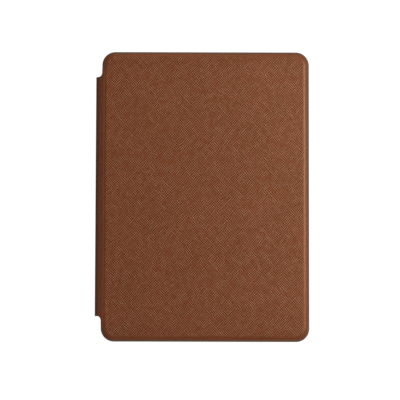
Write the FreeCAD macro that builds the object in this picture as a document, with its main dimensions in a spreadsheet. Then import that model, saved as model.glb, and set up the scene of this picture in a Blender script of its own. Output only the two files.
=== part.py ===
import FreeCAD, Part

import math
import os
import re

import Sketcher

# E-reader with a six-inch electronic-paper screen, held in a leather-covered folio.
#
# The folio is closed and lies on its back. +X runs across the page to the right, +Y up the page and +Z out
# of the screen. The origin is the middle of the flat back, on the plane that it rests on. All sizes are in
# millimetres.
#
# The folio's leather is one sheet on the real object. It is divided here where it bends: a piece on the
# front cover, a piece on the spine, a piece on the back, and the two creases between them.

# Driving dimensions, by name. They become the cells of the sheet "dims", and every size is bound to them.
DIMENSIONS = {
    # Reader, outside: a bezel over a rear cover, which meet at a parting line round the sides.
    "reader_width": 113.0,
    "reader_height": 160.0,
    "reader_depth": 8.7,
    "reader_corner": 8.0,
    "reader_round": 2.6,
    "shell_wall": 1.3,
    "shell_floor": 1.2,
    "bezel_band": 2.0,
    "bezel_face": 1.1,
    "bezel_round": 0.9,
    "skirt_thick": 0.8,
    "skirt_drop": 1.4,
    "fit_gap": 0.05,
    # Screen: the part that lights up, where it sits on the front, and the layers under the bezel.
    "active_width": 90.6,
    "active_height": 122.4,
    "active_rise": 4.3,
    "window_margin": 0.6,
    "panel_side": 5.6,
    "panel_head": 3.5,
    "panel_foot": 12.5,
    "panel_thick": 0.8,
    "guide_thick": 0.4,
    "lens_thick": 0.5,
    "gasket_thick": 0.2,
    "gasket_width": 3.4,
    "tape_thick": 0.1,
    "tape_width": 6.0,
    "led_count": 4.0,
    "led_length": 3.0,
    "led_width": 0.9,
    "led_strip_width": 3.2,
    "led_strip_thick": 0.1,
    # Middle frame, its screws, and the bosses on the bezel that they go into.
    "frame_thick": 0.8,
    "frame_gap": 0.3,
    "boss_radius": 1.45,
    "screw_hole": 0.65,
    "screw_radius": 0.6,
    "screw_head": 1.2,
    "screw_head_thick": 0.5,
    "screw_bite": 1.4,
    "side_screw_pitch": 50.0,
    "end_screw_pitch": 34.0,
    "foot_screw_side": 8.0,
    "magnet_length": 10.0,
    "magnet_width": 2.6,
    "magnet_thick": 1.0,
    "magnet_pitch": 17.0,
    # Main board and what stands on its back.
    "board_width": 96.0,
    "board_height": 52.0,
    "board_thick": 0.8,
    "board_edge": 0.7,
    "standoff": 0.7,
    "standoff_radius": 1.8,
    "board_screw_inset": 4.0,
    "flex_notch_width": 42.0,
    "flex_notch_depth": 6.0,
    "flex_notch_side": 31.0,
    "parts_rise": 32.0,
    "processor_x": 6.0,
    "radio_x": -32.0,
    "storage_x": 33.0,
    "processor_can_width": 34.0,
    "processor_can_height": 22.0,
    "radio_can_side": 13.5,
    "can_height": 1.3,
    "can_sheet": 0.15,
    "can_corner": 1.0,
    "chip_large": 13.0,
    "chip_medium": 10.5,
    "chip_small": 6.5,
    "chip_thick": 0.9,
    "passive_count": 9.0,
    "passive_length": 1.6,
    "passive_width": 0.8,
    "passive_pitch": 3.2,
    "sensor_width": 1.6,
    "sensor_length": 2.9,
    "antenna_width": 7.0,
    "antenna_length": 46.0,
    "clip_length": 3.0,
    "clip_width": 2.0,
    "connector_height": 1.0,
    "connector_depth": 3.4,
    "flex_thick": 0.15,
    "flex_clear": 2.0,
    "panel_flex_width": 26.0,
    "touch_flex_width": 9.0,
    "driver_length": 22.0,
    "driver_width": 1.6,
    # Bottom edge: charging socket, status light and power button.
    "port_drop": 0.4,
    "socket_width": 7.5,
    "socket_height": 2.6,
    "socket_depth": 5.6,
    "socket_sheet": 0.3,
    "tongue_base": 1.0,
    "socket_recess": 0.4,
    "socket_gap": 0.3,
    "solder_tab": 1.5,
    "light_x": 9.0,
    "light_radius": 0.6,
    "light_head": 0.3,
    "status_led_width": 1.6,
    "status_led_thick": 0.6,
    "button_x": 18.0,
    "button_width": 10.0,
    "button_height": 2.4,
    "button_proud": 0.35,
    "button_gap": 0.15,
    "button_travel": 0.4,
    "flange_lap": 0.6,
    "flange_rise": 0.3,
    "flange_thick": 0.6,
    "switch_width": 4.6,
    "switch_height": 2.4,
    "switch_depth": 2.8,
    "plunger_width": 1.8,
    "plunger_height": 1.0,
    "plunger_proud": 0.8,
    # Battery.
    "battery_width": 64.0,
    "battery_height": 44.0,
    "battery_thick": 3.2,
    "battery_corner": 2.0,
    "battery_tape": 0.15,
    "battery_gap": 5.0,
    "guard_depth": 4.0,
    "guard_thick": 0.8,
    "tab_width": 12.0,
    "tab_thick": 0.3,
    "tab_lap": 3.0,
    # Folio: a hard tray that grips the reader by its corners, with leather on its back.
    "skin_thick": 0.7,
    "tray_floor": 1.0,
    "tray_wall": 1.2,
    "tray_gap": 0.15,
    "tray_round": 1.5,
    "back_inset": 2.2,
    "lip_thick": 0.8,
    "lip_over": 1.0,
    "lip_span": 24.0,
    "side_drop": 0.7,
    "port_window": 36.0,
    # Folio: the front cover, a board wrapped in leather and lined inside.
    "cover_gap": 0.3,
    "cover_overhang": 1.15,
    "cover_corner": 7.5,
    "cover_roll": 1.2,
    "hem_round": 0.3,
    "hem_width": 4.0,
    "lining_thick": 0.7,
    "lining_gap": 0.15,
    "board_stiff": 1.2,
    "board_inset": 1.2,
    "board_round": 1.0,
    "glue_gap": 0.05,
    "sleep_magnet_radius": 2.5,
    "sleep_magnet_y": -62.0,
    # Folio: the spine, shorter than the cover, and the creases that it folds on.
    "spine_span": 136.4,
    "spine_bulge": 3.6,
    "crease_thick": 1.2,
    "crease_step": 0.25,
    "stiffener_thick": 0.4,
    "stiffener_edge": 0.5,
    "stiffener_end": 3.0,
}

# Sizes and levels that follow from the driving dimensions.
DERIVED = {
    "tray_width": "reader_width + 2 * (tray_gap + tray_wall)",
    "tray_height": "reader_height + 2 * (tray_gap + tray_wall)",
    "tray_corner": "reader_corner + tray_gap + tray_wall",
    "cover_width": "tray_width + 2 * cover_overhang",
    "cover_height": "tray_height + 2 * cover_overhang",
    "reader_base": "skin_thick + tray_floor",
    "reader_top": "reader_base + reader_depth",
    "reader_foot": "reader_height / 2",
    "lip_under": "reader_top + tray_gap",
    "cover_base": "lip_under + lip_thick + cover_gap",
    "cover_depth": "lining_thick + board_stiff + skin_thick",
    "cover_top": "cover_base + cover_depth",
    "floor_top": "reader_base + shell_floor",
    "parting": "reader_top - bezel_band",
    "cavity_width": "reader_width - 2 * shell_wall",
    "cavity_height": "reader_height - 2 * shell_wall",
    "cavity_corner": "reader_corner - shell_wall",
    "skirt_inside": "cavity_width - 2 * (fit_gap + skirt_thick)",
    "skirt_inside_height": "cavity_height - 2 * (fit_gap + skirt_thick)",
    "window_width": "active_width + 2 * window_margin",
    "window_height": "active_height + 2 * window_margin",
    "panel_width": "active_width + 2 * panel_side",
    "panel_height": "active_height + panel_head + panel_foot",
    "panel_y": "active_rise + (panel_head - panel_foot) / 2",
    "panel_low": "panel_y - panel_height / 2",
    "panel_high": "panel_y + panel_height / 2",
    "bezel_under": "reader_top - bezel_face",
    "lens_base": "bezel_under - gasket_thick - lens_thick",
    "guide_base": "lens_base - guide_thick",
    "panel_base": "guide_base - panel_thick",
    "frame_top": "panel_base - tape_thick",
    "frame_base": "frame_top - frame_thick",
    "frame_width": "skirt_inside - 2 * frame_gap",
    "frame_height": "skirt_inside_height - 2 * frame_gap",
    "guide_low": "active_rise - active_height / 2 - window_margin - gasket_width",
    "sleep_magnet_x": "cover_width / 2 - hem_width - lining_gap - sleep_magnet_radius",
    "rim_x": "(panel_width / 2 + skirt_inside / 2) / 2",
    "rim_y": "(skirt_inside_height / 2 + panel_high) / 2",
    "board_top": "frame_base - standoff",
    "board_under": "board_top - board_thick",
    "board_low": "-(cavity_height / 2 - board_edge)",
    "board_high": "board_low + board_height",
    "parts_y": "board_low + parts_rise",
    "port_level": "board_under + board_thick / 2 - port_drop",
    "wall_inside": "reader_foot - shell_wall",
    "flange_back": "wall_inside - fit_gap - flange_thick",
    "plunger_tip": "flange_back - 2 * button_travel",
    "switch_front": "plunger_tip - plunger_proud",
    "battery_y": "board_high + battery_gap + battery_height / 2",
    "battery_base": "frame_base - battery_tape - battery_thick",
    "crease_inside": "spine_bulge - crease_thick",
    "front_crease_z": "cover_top - crease_step - spine_bulge",
    "back_crease_z": "crease_step + spine_bulge",
    "spine_x": "-(cover_width / 2 + spine_bulge)",
    "spine_flat": "front_crease_z - back_crease_z",
}

SAME = 0.001  # two lengths closer than this are the same
PIECES = []   # the finished sub-parts, in the order they are made


# ---------------------------------------------------------------- the document, its sheet and formulas

doc = FreeCAD.newDocument("reader_in_folio")
sheet = doc.addObject("Spreadsheet::Sheet", "dims")
for row, (name, size) in enumerate(DIMENSIONS.items(), start=1):
    sheet.set(f"A{row}", name)
    sheet.set(f"B{row}", str(size))
    sheet.setAlias(f"B{row}", name)
probe = doc.addObject("App::VarSet", "probe")
probe.addProperty("App::PropertyFloat", "Size")
doc.recompute()


def formula(text):
    """The expression that FreeCAD reads: each derived name is written out, down to cells of the sheet."""
    def spell(match):
        word = match.group(0)
        if word in DERIVED:
            return f"({formula(DERIVED[word])})"
        return f"dims.{word}" if word in DIMENSIONS else word
    return re.sub(r"[a-z]\w*", spell, str(text))


def value(text):
    """What an expression comes to now, to place sketch points near where their constraints hold them."""
    probe.setExpression("Size", formula(text))
    probe.recompute()
    return probe.Size


def bind(thing, **properties):
    """Binds properties to expressions. A double underscore in a property's name stands for a dot."""
    for name, text in properties.items():
        thing.setExpression(name.replace("__", "."), formula(text))


def at(thing, x=0, y=0, z=0, property_name="Placement"):
    """Binds where a thing stands."""
    for axis, text in (("x", x), ("y", y), ("z", z)):
        if text != 0:
            thing.setExpression(f"{property_name}.Base.{axis}", formula(text))
    return thing


def finished(thing, name):
    """Gives a sub-part the name that its file takes."""
    thing.Label = name
    PIECES.append(thing)
    return thing


# ---------------------------------------------------------------- sketches and features

def new_body(name):
    return finished(doc.addObject("PartDesign::Body", name), name)


def new_sketch(body, name, plane="XY_Plane", x=0, y=0, z=0):
    """A sketch on one of the body's origin planes, moved by x and y in that plane and z along its normal."""
    sketch = body.newObject("Sketcher::SketchObject", f"{body.Name}_{name}")
    origin_plane = next(o for o in body.Origin.OriginFeatures if o.Role == plane)
    sketch.AttachmentSupport = [(origin_plane, "")]
    sketch.MapMode = "FlatFace"
    return at(sketch, x, y, z, "AttachmentOffset")


def draw_rectangle(sketch, width, height, corner=None):
    """A rectangle centred on the sketch's origin, with round corners if corner is given."""
    w, h = value(width) / 2, value(height) / 2
    r = value(corner) if corner else 0.0
    flat = FreeCAD.Vector
    first = sketch.GeometryCount
    bottom, right, top, left = range(first, first + 4)
    ends = [
        ((-w + r, -h), (w - r, -h)),
        ((w, -h + r), (w, h - r)),
        ((w - r, h), (-w + r, h)),
        ((-w, h - r), (-w, -h + r)),
    ]
    for start, end in ends:
        sketch.addGeometry(Part.LineSegment(flat(*start, 0), flat(*end, 0)), False)
    sides = [bottom, right, top, left]
    if corner:
        centres = [(w - r, -h + r, 270), (w - r, h - r, 0), (-w + r, h - r, 90), (-w + r, -h + r, 180)]
        for n, (cx, cy, start_angle) in enumerate(centres):
            circle = Part.Circle(flat(cx, cy, 0), flat(0, 0, 1), r)
            start = math.radians(start_angle)
            arc = sketch.addGeometry(Part.ArcOfCircle(circle, start, start + math.pi / 2), False)
            sketch.addConstraint(Sketcher.Constraint("Tangent", sides[n], 2, arc, 1))
            sketch.addConstraint(Sketcher.Constraint("Tangent", arc, 2, sides[(n + 1) % 4], 1))
            if n:
                sketch.addConstraint(Sketcher.Constraint("Equal", arc, first + 4))
        radius = sketch.addConstraint(Sketcher.Constraint("Radius", first + 4, r))
        sketch.setExpression(f"Constraints[{radius}]", formula(corner))
    else:
        for n in range(4):
            sketch.addConstraint(Sketcher.Constraint("Coincident", sides[n], 2, sides[(n + 1) % 4], 1))
    for side, kind in ((bottom, "Horizontal"), (top, "Horizontal"), (right, "Vertical"), (left, "Vertical")):
        sketch.addConstraint(Sketcher.Constraint(kind, side))
    extents = [
        (Sketcher.Constraint("DistanceX", -1, 1, right, 1, w), width),
        (Sketcher.Constraint("DistanceX", left, 1, -1, 1, w), width),
        (Sketcher.Constraint("DistanceY", -1, 1, top, 1, h), height),
        (Sketcher.Constraint("DistanceY", bottom, 1, -1, 1, h), height),
    ]
    for constraint, size in extents:
        index = sketch.addConstraint(constraint)
        sketch.setExpression(f"Constraints[{index}]", formula(f"({size}) / 2"))
    return sketch


def pin_point(sketch, geometry, point, x, y):
    """Holds one point of a sketch at x and y."""
    for kind, text in (("DistanceX", x), ("DistanceY", y)):
        size = value(text)
        if size >= 0:
            index = sketch.addConstraint(Sketcher.Constraint(kind, -1, 1, geometry, point, size))
            sketch.setExpression(f"Constraints[{index}]", formula(text))
        else:
            index = sketch.addConstraint(Sketcher.Constraint(kind, geometry, point, -1, 1, -size))
            sketch.setExpression(f"Constraints[{index}]", formula(f"-({text})"))


def draw_circle(sketch, x, y, radius):
    circle = Part.Circle(FreeCAD.Vector(value(x), value(y), 0), FreeCAD.Vector(0, 0, 1), value(radius))
    index = sketch.addGeometry(circle, False)
    size = sketch.addConstraint(Sketcher.Constraint("Radius", index, value(radius)))
    sketch.setExpression(f"Constraints[{size}]", formula(radius))
    pin_point(sketch, index, 3, x, y)


def draw_arc(sketch, centre, start, end, radius, clockwise=False):
    """An arc about a pinned centre. Its two ends are left for the outline's other constraints."""
    cx, cy = value(centre[0]), value(centre[1])
    angles = [math.atan2(value(y) - cy, value(x) - cx) for x, y in (start, end)]
    if clockwise:
        angles.reverse()
    circle = Part.Circle(FreeCAD.Vector(cx, cy, 0), FreeCAD.Vector(0, 0, 1), value(radius))
    index = sketch.addGeometry(Part.ArcOfCircle(circle, angles[0], angles[1]), False)
    size = sketch.addConstraint(Sketcher.Constraint("Radius", index, value(radius)))
    sketch.setExpression(f"Constraints[{size}]", formula(radius))
    pin_point(sketch, index, 3, *centre)
    return index


def add_pad(body, sketch, length, back=False, both=False):
    pad = body.newObject("PartDesign::Pad", f"{sketch.Name}_pad")
    pad.Profile = sketch
    pad.Reversed = back
    pad.Midplane = both
    bind(pad, Length=length)
    return pad


def add_pocket(body, sketch, length, back=False):
    """Cuts against the sketch's normal, or along it if back is set."""
    pocket = body.newObject("PartDesign::Pocket", f"{sketch.Name}_pocket")
    pocket.Profile = sketch
    pocket.Reversed = back
    bind(pocket, Length=length)
    return pocket


def flat_edges(shape, z):
    """The edges of a shape that lie flat at height z, on its outline."""
    box = shape.optimalBoundingBox(False)
    return [
        f"Edge{n}"
        for n, edge in enumerate(shape.Edges, start=1)
        if abs(edge.BoundBox.ZMin - z) < SAME and abs(edge.BoundBox.ZMax - z) < SAME
        and on_outline(edge.BoundBox, box)
    ]


def on_outline(small, large):
    """True if a box reaches a side of a larger one."""
    sides = (
        small.XMin - large.XMin, small.XMax - large.XMax,
        small.YMin - large.YMin, small.YMax - large.YMax)
    return any(abs(side) < SAME for side in sides)


def add_fillet(body, radius, bottom=False):
    """Rounds the outer edges of the body's top, or of its bottom."""
    doc.recompute()
    shape = body.Tip.Shape
    box = shape.optimalBoundingBox(False)
    fillet = body.newObject("PartDesign::Fillet", f"{body.Name}_{'bottom' if bottom else 'top'}_fillet")
    fillet.Base = (fillet.BaseFeature, flat_edges(shape, box.ZMin if bottom else box.ZMax))
    bind(fillet, Radius=radius)
    return fillet


def plate(name, width, height, thick, corner=None, x=0, y=0, z=0):
    """A body that is a flat rectangle of material, centred on x and y with its underside at z."""
    body = new_body(name)
    add_pad(body, draw_rectangle(new_sketch(body, "outline"), width, height, corner), thick)
    return at(body, x, y, z)


# ---------------------------------------------------------------- primitives, for small and repeated pieces

def block(name, width, height, depth, x=0, y=0, z=0):
    """A box of width along X, height along Y and depth along Z, centred on x and y, standing on z."""
    box = doc.addObject("Part::Box", name)
    bind(box, Length=width, Width=height, Height=depth)
    return at(box, f"{x} - ({width}) / 2", f"{y} - ({height}) / 2", z)


def post(name, radius, height, x=0, y=0, z=0):
    """A cylinder that stands on z."""
    cylinder = doc.addObject("Part::Cylinder", name)
    bind(cylinder, Radius=radius, Height=height)
    return at(cylinder, x, y, z)


def lying_post(name, radius, length, x, y, z):
    """A cylinder that runs from y along +Y."""
    cylinder = post(name, radius, length, x, y, z)
    cylinder.Placement.Rotation = FreeCAD.Rotation(FreeCAD.Vector(1, 0, 0), -90)
    return cylinder


def joined(name, parts):
    fuse = doc.addObject("Part::MultiFuse", name)
    fuse.Shapes = parts
    return fuse


def less(name, base, tool):
    cut = doc.addObject("Part::Cut", name)
    cut.Base = base
    cut.Tool = tool
    return cut


def group(name, parts):
    """Separate solids that share a node, such as identical screws."""
    compound = doc.addObject("Part::Compound", name)
    compound.Links = parts
    return finished(compound, name)


# ---------------------------------------------------------------- folio: tray and the leather on its back

def make_tray():
    """A moulded tray. Its walls grip the reader, and lips at the four corners reach over the bezel."""
    tray = new_body("tray")
    at(tray, z="skin_thick")
    rim = "cover_base - cover_gap - skin_thick"
    outline = draw_rectangle(new_sketch(tray, "outline"), "tray_width", "tray_height", "tray_corner")
    add_pad(tray, outline, rim)
    add_fillet(tray, "tray_round", bottom=True)
    seat = draw_rectangle(
        new_sketch(tray, "seat", z="tray_floor"),
        "reader_width + 2 * tray_gap", "reader_height + 2 * tray_gap", "reader_corner + tray_gap")
    add_pocket(tray, seat, "reader_depth + tray_gap", back=True)
    mouth = draw_rectangle(
        new_sketch(tray, "mouth", z=rim),
        "reader_width - 2 * lip_over", "reader_height - 2 * lip_over", "reader_corner - lip_over")
    add_pocket(tray, mouth, "lip_thick")
    drop = "lip_thick + tray_gap + side_drop"
    long_sides = draw_rectangle(
        new_sketch(tray, "long_sides", z=rim), "tray_width + 2 * tray_wall", "tray_height - 2 * lip_span")
    add_pocket(tray, long_sides, drop)
    short_sides = draw_rectangle(
        new_sketch(tray, "short_sides", z=rim), "tray_width - 2 * lip_span", "tray_height + 2 * tray_wall")
    add_pocket(tray, short_sides, drop)
    port = draw_rectangle(
        new_sketch(tray, "port", x="light_x", y="-tray_height / 2", z=rim), "port_window", "2 * tray_wall")
    add_pocket(tray, port, f"{rim} - tray_floor")


def make_back_skin():
    """Leather glued to the flat of the tray's back, with a tongue that runs out to the spine."""
    skin = plate(
        "back_skin", "tray_width - 2 * back_inset", "tray_height - 2 * back_inset", "skin_thick",
        "tray_corner - back_inset")
    lap = "back_inset + tray_corner"
    tongue_width = f"(cover_width - tray_width) / 2 + back_inset + ({lap})"
    tongue = new_sketch(skin, "tongue", x=f"-cover_width / 2 + ({tongue_width}) / 2")
    add_pad(skin, draw_rectangle(tongue, tongue_width, "spine_span"), "skin_thick")


# ---------------------------------------------------------------- folio: front cover

def make_front_skin():
    """Leather over the board's face and round its edges, turned in as a hem on the inside."""
    skin = new_body("front_skin")
    at(skin, z="cover_base")
    outline = draw_rectangle(new_sketch(skin, "outline"), "cover_width", "cover_height", "cover_corner")
    add_pad(skin, outline, "cover_depth")
    add_fillet(skin, "cover_roll")
    add_fillet(skin, "hem_round", bottom=True)
    window = draw_rectangle(
        new_sketch(skin, "window"),
        "cover_width - 2 * hem_width", "cover_height - 2 * hem_width", "cover_corner - hem_width")
    add_pocket(skin, window, "lining_thick", back=True)
    pouch = draw_rectangle(
        new_sketch(skin, "pouch", z="lining_thick"),
        "cover_width - 2 * board_inset", "cover_height - 2 * board_inset", "cover_corner - board_inset")
    add_pocket(skin, pouch, "board_stiff", back=True)


def magnet_places():
    """Where the closing magnets are along the open edge, in the cover and in the reader alike."""
    return [f"{step} * magnet_pitch" for step in (-1.5, -0.5, 0.5, 1.5)]


def make_cover_board():
    """Stiff board with a rounded rim that gives the cover its shape, with windows for the magnets."""
    inset = "2 * (board_inset + glue_gap)"
    board = plate(
        "cover_board", f"cover_width - {inset}", f"cover_height - {inset}", "board_stiff",
        "cover_corner - board_inset - glue_gap", z="cover_base + lining_thick")
    add_fillet(board, "board_round")
    for n, y in enumerate(magnet_places()):
        window = new_sketch(board, f"magnet_{n}", x="rim_x", y=y, z="board_stiff")
        draw_rectangle(window, "magnet_width + 2 * glue_gap", "magnet_length + 2 * glue_gap")
        add_pocket(board, window, "board_stiff")
    round_window = new_sketch(board, "sleep_window", x="sleep_magnet_x", y="sleep_magnet_y", z="board_stiff")
    draw_circle(round_window, 0, 0, "sleep_magnet_radius + glue_gap")
    add_pocket(board, round_window, "board_stiff")


def make_cover_magnets():
    """Bar magnets that hold the cover shut, and a round one that puts the reader to sleep."""
    level = "cover_base + lining_thick"
    bars = [
        block(f"cover_magnet_{n}", "magnet_width", "magnet_length", "magnet_thick", "rim_x", y, level)
        for n, y in enumerate(magnet_places())
    ]
    group("cover_magnets", bars)
    disc = post(
        "sleep_magnet", "sleep_magnet_radius", "magnet_thick", "sleep_magnet_x", "sleep_magnet_y", level)
    finished(disc, "sleep_magnet")


def make_cover_lining():
    """Microfibre that lies flush inside the hem and rests over the screen."""
    inset = "2 * (hem_width + lining_gap)"
    plate("cover_lining", f"cover_width - {inset}", f"cover_height - {inset}", "lining_thick",
          "cover_corner - hem_width - lining_gap", z="cover_base")


# ---------------------------------------------------------------- folio: spine and creases

def make_spine():
    """A leather strip with a plastic stiffener behind it, and a lining that covers the stiffener."""
    skin = block(
        "spine_skin", "skin_thick", "spine_span", "spine_flat",
        "spine_x + skin_thick / 2", 0, "back_crease_z")
    finished(skin, "spine_skin")
    strip_height = "spine_flat - 2 * stiffener_edge"
    strip_x = "spine_x + skin_thick + stiffener_thick / 2"
    strip_z = "back_crease_z + stiffener_edge"
    strip_size = ("stiffener_thick", "spine_span - 2 * stiffener_end", strip_height)
    finished(block("spine_stiffener", *strip_size, strip_x, 0, strip_z), "spine_stiffener")
    lining_width = "crease_thick - skin_thick + stiffener_thick"
    sheet_block = block(
        "spine_lining_sheet", lining_width, "spine_span", "spine_flat",
        f"spine_x + skin_thick + ({lining_width}) / 2", 0, "back_crease_z")
    pocket_block = block("spine_lining_pocket", *strip_size, strip_x, 0, strip_z)
    finished(less("spine_lining", sheet_block, pocket_block), "spine_lining")


def make_front_crease():
    """Bonded leather and lining that bends from just under the cover's face down into the spine."""
    crease = new_body("front_crease")
    # In this sketch x is the distance out from the cover's edge and y the height over the bend's centre.
    sketch = new_sketch(crease, "section", "XZ_Plane", x="-cover_width / 2", y="front_crease_z")
    outer, inner = "spine_bulge", "crease_inside"
    roll_y = "spine_bulge + crease_step - cover_roll"
    lap = "cover_roll - sqrt(cover_roll ^ 2 - (cover_roll - crease_step) ^ 2)"
    corners = [
        ("-spine_bulge", "0"), ("0", outer), (lap, outer),
        ("0", roll_y), ("0", inner), ("-crease_inside", "0"),
    ]
    outer_arc = draw_arc(sketch, ("0", "0"), corners[1], corners[0], outer)
    roll_arc = draw_arc(sketch, ("cover_roll", roll_y), corners[2], corners[3], "cover_roll")
    inner_arc = draw_arc(sketch, ("0", "0"), corners[4], corners[5], inner)
    lines = {}
    for name, (start, end) in {"top": (1, 2), "side": (3, 4), "foot": (5, 0)}.items():
        ends = [FreeCAD.Vector(value(corners[n][0]), value(corners[n][1]), 0) for n in (start, end)]
        lines[name] = sketch.addGeometry(Part.LineSegment(*ends), False)
    joints = [
        (outer_arc, 1, lines["top"], 1), (lines["top"], 2, roll_arc, 1),
        (lines["side"], 2, inner_arc, 1), (inner_arc, 2, lines["foot"], 1), (lines["foot"], 2, outer_arc, 2),
    ]
    for joint in joints:
        sketch.addConstraint(Sketcher.Constraint("Coincident", *joint))
    sketch.addConstraint(Sketcher.Constraint("Tangent", roll_arc, 2, lines["side"], 1))
    for name, kind in (("top", "Horizontal"), ("side", "Vertical"), ("foot", "Horizontal")):
        sketch.addConstraint(Sketcher.Constraint(kind, lines[name]))
    y_axis, x_axis = -2, -1
    sketch.addConstraint(Sketcher.Constraint("PointOnObject", outer_arc, 1, y_axis))
    sketch.addConstraint(Sketcher.Constraint("PointOnObject", outer_arc, 2, x_axis))
    add_pad(crease, sketch, "spine_span", both=True)


def make_back_crease():
    """The same bend at the foot of the spine, where the leather turns in under the tray."""
    outer = post("back_crease_outer", "spine_bulge", "spine_span")
    inner = post("back_crease_inner", "crease_inside", "spine_span")
    for cylinder in (outer, inner):
        cylinder.Angle = 90
        cylinder.Placement.Rotation = FreeCAD.Rotation(FreeCAD.Vector(1, 0, 0), -90) * FreeCAD.Rotation(
            FreeCAD.Vector(0, 0, 1), 90)
        at(cylinder, "-cover_width / 2", "-spine_span / 2", "back_crease_z")
    finished(less("back_crease", outer, inner), "back_crease")


# ---------------------------------------------------------------- reader: rear cover and bezel

def make_rear_cover():
    """Moulded back of the reader, open at the front, with the ports cut in its bottom wall."""
    cover = new_body("rear_cover")
    at(cover, z="reader_base")
    outline = draw_rectangle(new_sketch(cover, "outline"), "reader_width", "reader_height", "reader_corner")
    add_pad(cover, outline, "parting - reader_base")
    add_fillet(cover, "reader_round", bottom=True)
    hollow = draw_rectangle(
        new_sketch(cover, "hollow", z="shell_floor"), "cavity_width", "cavity_height", "cavity_corner")
    add_pocket(cover, hollow, "parting - floor_top", back=True)
    level = "port_level - reader_base"
    socket = new_sketch(cover, "socket_slot", "XZ_Plane", y=level, z="reader_foot")
    draw_rectangle(socket, "socket_width + 2 * socket_gap", "socket_height + 2 * socket_gap",
                   "(socket_height + 2 * socket_gap) / 3")
    add_pocket(cover, socket, "shell_wall")
    light = new_sketch(cover, "light_hole", "XZ_Plane", x="light_x", y=level, z="reader_foot")
    draw_circle(light, 0, 0, "light_radius + fit_gap")
    add_pocket(cover, light, "shell_wall")
    button = new_sketch(cover, "button_slot", "XZ_Plane", x="button_x", y=level, z="reader_foot")
    draw_rectangle(button, "button_width + 2 * button_gap", "button_height + 2 * button_gap",
                   "button_height / 2 - fit_gap")
    add_pocket(cover, button, "shell_wall")


def screw_places():
    """Where screws hold the middle frame to the bezel. Those at the foot clear the flexes and the socket."""
    sides = [(f"{side} * rim_x", f"{step} * side_screw_pitch") for side in (-1, 1) for step in (-1, 0, 1)]
    head = [(f"{step} * end_screw_pitch", "rim_y") for step in (-1, 0, 1)]
    foot = [(x, "-rim_y") for x in ("-foot_screw_side", "end_screw_pitch")]
    return sides + head + foot


def make_front_bezel():
    """Front frame: a window for the screen, a skirt inside the rear cover, and bosses for the screws."""
    bezel = new_body("front_bezel")
    at(bezel, z="parting")
    outline = draw_rectangle(new_sketch(bezel, "outline"), "reader_width", "reader_height", "reader_corner")
    add_pad(bezel, outline, "bezel_band")
    add_fillet(bezel, "bezel_round")
    recess = draw_rectangle(new_sketch(bezel, "recess"), "cavity_width", "cavity_height", "cavity_corner")
    add_pocket(bezel, recess, "bezel_band - bezel_face", back=True)
    window = new_sketch(bezel, "window", y="active_rise", z="bezel_band")
    draw_rectangle(window, "window_width", "window_height", "window_margin")
    add_pocket(bezel, window, "bezel_face")
    under = "bezel_band - bezel_face"
    skirt = new_sketch(bezel, "skirt", z=under)
    draw_rectangle(
        skirt, "cavity_width - 2 * fit_gap", "cavity_height - 2 * fit_gap", "cavity_corner - fit_gap")
    draw_rectangle(skirt, "skirt_inside", "skirt_inside_height", "cavity_corner - fit_gap - skirt_thick")
    add_pad(bezel, skirt, f"{under} + skirt_drop", back=True)
    bosses = new_sketch(bezel, "bosses", z=under)
    for x, y in screw_places():
        draw_circle(bosses, x, y, "boss_radius")
        draw_circle(bosses, x, y, "screw_hole")
    add_pad(bezel, bosses, "bezel_under - frame_top", back=True)


# ---------------------------------------------------------------- reader: screen

def make_screen():
    """The layers under the bezel's window: gasket, touch lens, light guide, paper panel and tapes."""
    gasket = new_body("display_gasket")
    at(gasket, y="active_rise", z="bezel_under - gasket_thick")
    ring = new_sketch(gasket, "ring")
    draw_rectangle(ring, "window_width + 2 * gasket_width", "window_height + 2 * gasket_width")
    draw_rectangle(ring, "window_width + gasket_width / 2", "window_height + gasket_width / 2")
    add_pad(gasket, ring, "gasket_thick")

    lens_low = "guide_low - led_strip_width"
    plate("screen_lens", "panel_width", f"panel_high - ({lens_low})", "lens_thick",
          y=f"(panel_high + ({lens_low})) / 2", z="lens_base")
    plate("light_guide", "panel_width - panel_side", "panel_high - guide_low", "guide_thick",
          y="(panel_high + guide_low) / 2", z="guide_base")

    strip_y = "guide_low - led_strip_width / 2"
    plate(
        "led_strip", "panel_width - panel_side", "led_strip_width", "led_strip_thick",
        y=strip_y, z="guide_base")
    lights = [
        block(f"frontlight_led_{n}", "led_length", "led_width", "guide_thick - led_strip_thick - fit_gap",
              f"({n} - (led_count - 1) / 2) * active_width / led_count",
              "guide_low - fit_gap - led_width / 2",
              "guide_base + led_strip_thick")
        for n in range(round(value("led_count")))
    ]
    group("frontlight_leds", lights)

    # The back of the panel is cut away at its foot, where the driver chip and the flex are bonded.
    plate("e_paper_panel", "panel_width", "panel_height", "panel_thick", y="panel_y", z="panel_base")
    tapes = [
        block(f"panel_tape_{side}", "tape_width", "panel_height - 2 * panel_side", "tape_thick",
              f"{x} * (panel_width / 2 - tape_width)", "panel_y", "frame_top")
        for side, x in (("left", -1), ("right", 1))
    ]
    group("panel_tape", tapes)


# ---------------------------------------------------------------- reader: middle frame

def board_screw_places():
    """Where the main board is screwed to the middle frame: its two upper corners and low on the right."""
    side = "(board_width / 2 - board_screw_inset)"
    upper = "board_high - board_screw_inset"
    return [(f"-{side}", upper), (side, upper), (side, "board_low + 2 * board_screw_inset")]


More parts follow.
